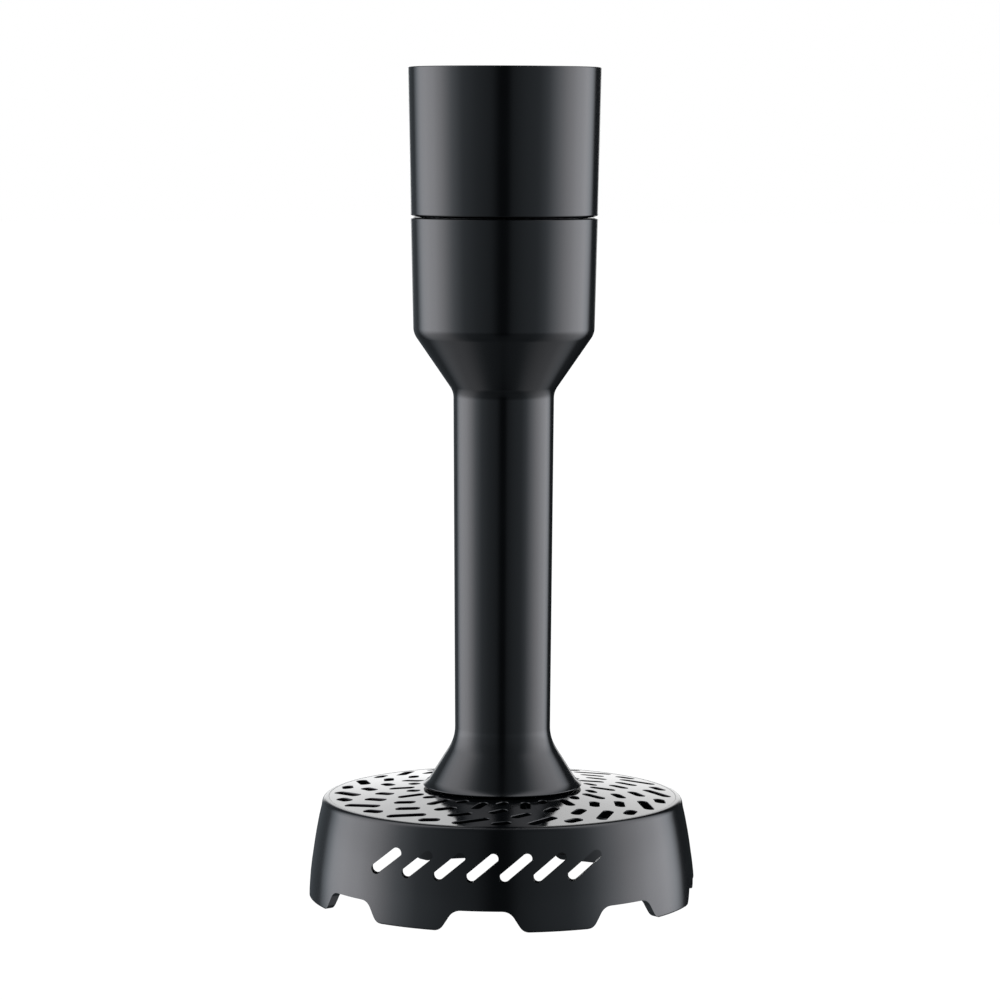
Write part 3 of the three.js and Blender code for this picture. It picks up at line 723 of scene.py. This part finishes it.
# %% The six-lobed driver
lobes = []
for k in range(6):
    for bearing_of_point, radius in ((-30, 4.5), (-12, 6), (12, 6)):
        angle = math.radians(60 * k + bearing_of_point)
        lobes.append((radius * math.sin(angle), -radius * math.cos(angle), 0.5))
driver = drawn("drive_coupling", soften(lobes, steps=4), low=218.95, high=226.5)
drill = turned("shaft_hole", [(0.01, 217), (3.12, 217), (3.12, 228), (0.01, 228)], facets=48)
combine(driver, drill)
finish_surface(driver, bevel=0.4, segments=3)
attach(driver, "input_drive")
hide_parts("drive_dog")

# %% [markdown]
# ## Screws
# All nine screws are pan heads with a cross recess. One of each size is turned and its recess is cut, and
# the others are copies.

# %% Making and placing the screws
def screw(name, shank, head, height, length):
    """A screw that stands on its shank, with the underside of its head at z 0."""
    piece = turned(name, soften([
        (0.01, -length, 0), (shank * 0.6, -length, 0), (shank, -length + 0.8, 0), (shank, 0, 0),
        (head, 0, 0.12), (head, height * 0.55, 0.4), (head * 0.55, height, 1.2), (0.01, height, 0),
    ]), facets=32)
    for turn in (0, 90):
        x, y = head * 0.55, 0.26
        bar = drawn("recess", [(-x, -y), (x, -y), (x, y), (-x, y)], height * 0.35, height + 1)
        swing(bar, turn)
        combine(piece, bar)
    finish_surface(piece, bevel=0.04)
    return piece


def set_screws(kind, family, circle, seat, azimuths, flip, body):
    """Copies a screw to each hole of a circle. A flipped one points up."""
    for number, azimuth in enumerate(azimuths, 1):
        node = f"{family}_{number}"
        pick_up(kind)
        bpy.ops.object.duplicate()
        piece = bpy.context.object
        piece.name = piece.data.name = node + "_steel"
        if flip:
            swing(piece, 180, "X")
        shift(piece, y=-circle, z=seat)
        swing(piece, azimuth)
        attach(piece, body)
        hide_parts(node)
    bpy.data.objects.remove(kind)
    put_down()


COVER_CIRCLE = 20.7
COVER_AZIMUTHS = (30, 150, 270)
kind = screw("foot_screw", shank=1.3, head=2.4, height=1.4, length=7.8)
set_screws(kind, "foot_screw", FOOT_CIRCLE, 28.4, FOOT_AZIMUTHS, True, "leg")
kind = screw("plate_screw", shank=1, head=1.8, height=1.1, length=12)
set_screws(kind, "socket_plate_screw", PLATE_CIRCLE, 216.2, PLATE_AZIMUTHS, False, "gear_unit")
kind = screw("cover_screw", shank=1, head=1.8, height=1.1, length=12)
set_screws(kind, "gear_cover_screw", COVER_CIRCLE, 185.1, COVER_AZIMUTHS, True, "gear_unit")

# %% [markdown]
# ## Finishes
# Black plastic is nearly all reflection. Its own colour is close to nothing, so the work is in the gloss: a
# moulded skin is never perfectly even, and a tool-steel mould leaves a fine grain of about half a
# millimetre. Both are noise on the piece's own coordinates, one in the roughness and one in a bump.

# %% What the finishes have in common
def new_finish(name):
    """A new material, with its node tree and its shader."""
    finish = bpy.data.materials.new(name)
    finish.use_nodes = True
    return finish, finish.node_tree, finish.node_tree.nodes["Principled BSDF"]


def vary(tree, shader, noise, low, high, tints):
    """Lets a noise vary the roughness from low to high, and the colour along a ramp."""
    gloss = add_node(tree, "ShaderNodeMapRange")
    gloss.inputs["To Min"].default_value = low
    gloss.inputs["To Max"].default_value = high
    tree.links.new(noise.outputs["Fac"], gloss.inputs["Value"])
    tree.links.new(gloss.outputs["Result"], shader.inputs["Roughness"])
    tint = add_node(tree, "ShaderNodeValToRGB")
    paint_ramp(tint, tints)
    tree.links.new(noise.outputs["Fac"], tint.inputs["Fac"])
    tree.links.new(tint.outputs["Color"], shader.inputs["Base Color"])


def raise_grain(tree, shader, noise, depth):
    """Lets a noise raise the surface by a depth in metres."""
    bump = add_node(tree, "ShaderNodeBump")
    bump.inputs["Distance"].default_value = depth
    tree.links.new(noise.outputs["Fac"], bump.inputs["Height"])
    tree.links.new(bump.outputs["Normal"], shader.inputs["Normal"])


def coat(finish, *pieces):
    """Gives pieces one finish."""
    for piece in pieces:
        piece.data.materials.clear()
        piece.data.materials.append(finish)


# %% Moulded plastic
def moulded(name, colour, roughness, spread, grain_mm, grain_depth_um):
    """Plastic with an uneven gloss, a faint mottle in its colour and a fine mould grain."""
    finish, tree, shader = new_finish(name)
    shader.inputs["IOR"].default_value = 1.5
    where = add_node(tree, "ShaderNodeTexCoord")
    cloud = add_node(tree, "ShaderNodeTexNoise")
    cloud.inputs["Scale"].default_value = 60
    cloud.inputs["Detail"].default_value = 4
    tree.links.new(where.outputs["Object"], cloud.inputs["Vector"])
    mottle = [(0.3, tuple(c * 0.8 for c in colour)), (0.7, tuple(c * 1.25 for c in colour))]
    vary(tree, shader, cloud, roughness - spread, roughness + spread, mottle)
    grain = add_node(tree, "ShaderNodeTexNoise")
    grain.inputs["Scale"].default_value = 1000 / grain_mm
    grain.inputs["Detail"].default_value = 2
    tree.links.new(where.outputs["Object"], grain.inputs["Vector"])
    raise_grain(tree, shader, grain, grain_depth_um * 1e-6)
    return finish


# After the colour: roughness and its spread, then the grain's size in millimetres and depth in micrometres.
BLACK = (0.0022, 0.0025, 0.0028)
coat(moulded("polished_black", BLACK, 0.14, 0.02, 0.6, 1.5), collar)
coat(moulded("fine_grained_black", BLACK, 0.15, 0.03, 0.55, 3), leg, bell, *bosses)
coat(moulded("sieve_black", BLACK, 0.09, 0.02, 0.6, 1), sieve)
coat(moulded("satin_nylon", (0.006, 0.0065, 0.007), 0.38, 0.05, 0.5, 8), paddle, floor_plate, driver)
print("the collar is coated with", collar.data.materials[0].name)

# %% [markdown]
# ## The works inside
# The shaft, the pins and the screws are turned steel, the bushes are oiled bronze, the gears are pale acetal
# and the seals are rubber. Turned metal has rings where the tool went round, so its noise is stretched: it
# changes quickly along the axis and slowly across it. The plastics and the rubber use the recipe above.

# %% Turned metal
def metal(name, colour, roughness, streaks):
    """Turned or ground metal: fine streaks in one direction vary its gloss and height."""
    finish, tree, shader = new_finish(name)
    shader.inputs["Metallic"].default_value = 1
    where = add_node(tree, "ShaderNodeTexCoord")
    stretch = add_node(tree, "ShaderNodeMapping")
    stretch.inputs["Scale"].default_value = streaks
    tree.links.new(where.outputs["Object"], stretch.inputs["Vector"])
    noise = add_node(tree, "ShaderNodeTexNoise")
    noise.inputs["Scale"].default_value = 1
    noise.inputs["Detail"].default_value = 3
    tree.links.new(stretch.outputs["Vector"], noise.inputs["Vector"])
    tarnish = [(0.35, tuple(c * 0.88 for c in colour)), (0.65, colour)]
    vary(tree, shader, noise, roughness * 0.75, roughness * 1.3, tarnish)
    raise_grain(tree, shader, noise, 3e-6)
    return finish


# %% Steel, bronze, gear plastic, nylon and rubber
turned_steel = metal("turned_steel", (0.62, 0.63, 0.65), 0.26, (400, 400, 4000))
oiled_bronze = metal("oiled_bronze", (0.5, 0.33, 0.15), 0.4, (2500, 2500, 2500))
gear_acetal = moulded("gear_acetal", (0.62, 0.6, 0.53), 0.35, 0.05, 0.8, 6)
case_nylon = moulded("case_nylon", (0.04, 0.044, 0.048), 0.45, 0.06, 0.6, 12)
soft_rubber = moulded("soft_rubber", (0.012, 0.012, 0.012), 0.7, 0.08, 0.4, 15)
inner_nylon = moulded("inner_nylon", (0.015, 0.016, 0.017), 0.42, 0.05, 0.5, 10)
inside = (turned_steel, oiled_bronze, gear_acetal, case_nylon, soft_rubber, inner_nylon)
print("finishes for the inside:", ", ".join(finish.name for finish in inside))

# %% Every engineering part gets the finish of its material
slot_finish = {
    "steel": turned_steel, "bronze": oiled_bronze, "gear_white": gear_acetal, "case_grey": case_nylon,
    "seal_rubber": soft_rubber, "satin_black": inner_nylon, "gloss_black": inner_nylon,
}
for subpart in frame["record"]["subparts"]:
    coat(slot_finish[subpart["material_slot"]], frame["nodes"][subpart["node"]])
for piece in bpy.data.objects:
    if piece.name.endswith("_steel"):
        coat(turned_steel, piece)
print(len(frame["nodes"]), "engineering parts have a finish")

# %% [markdown]
# ## The floor
# A white table that blends into the backdrop. It lies 60 mm under the rim, so that the paddle can be pulled
# off downwards without going through it. Only the camera needs to see it, because the world already gives
# the light and the reflections.

# %% The table top
DROP = 60


def even_white(name, grey, glow_strength):
    """A matt finish that glows by itself, so that it is the same white everywhere."""
    finish, _, shader = new_finish(name)
    shader.inputs["Base Color"].default_value = (grey, grey, grey, 1)
    shader.inputs["Specular IOR Level"].default_value = 0
    shader.inputs["Roughness"].default_value = 1
    shader.inputs["Emission Color"].default_value = (1, 1, 1, 1)
    shader.inputs["Emission Strength"].default_value = glow_strength
    return finish


put_down()
bpy.ops.mesh.primitive_plane_add(size=20, location=(0, 0, -DROP * MM))
table = bpy.context.object
table.name = "table"
coat(even_white("white_table", 0.06, 0.985), table)
table.visible_glossy = False
table.visible_diffuse = False
print("the table is", table.dimensions.x, "m wide")

# %% [markdown]
# ## The backdrop
# The world gives the reflections, and its dark stretches must not show behind the object. A studio would
# hang white paper. Here a large white sphere stands all round, and only the camera can see it: with every
# other kind of ray switched off, it changes neither the light nor the reflections.

# %% A sphere that only the camera sees
bpy.ops.mesh.primitive_uv_sphere_add(segments=64, ring_count=32, radius=10)
backdrop = bpy.context.object
backdrop.name = "backdrop"
coat(even_white("white_backdrop", 0, 1), backdrop)
for ray in ("glossy", "diffuse", "transmission", "volume_scatter", "shadow"):
    setattr(backdrop, "visible_" + ray, False)
print("the backdrop is", backdrop.dimensions.x, "m wide")

# %% Bring the scene up to date
bpy.context.view_layer.update()
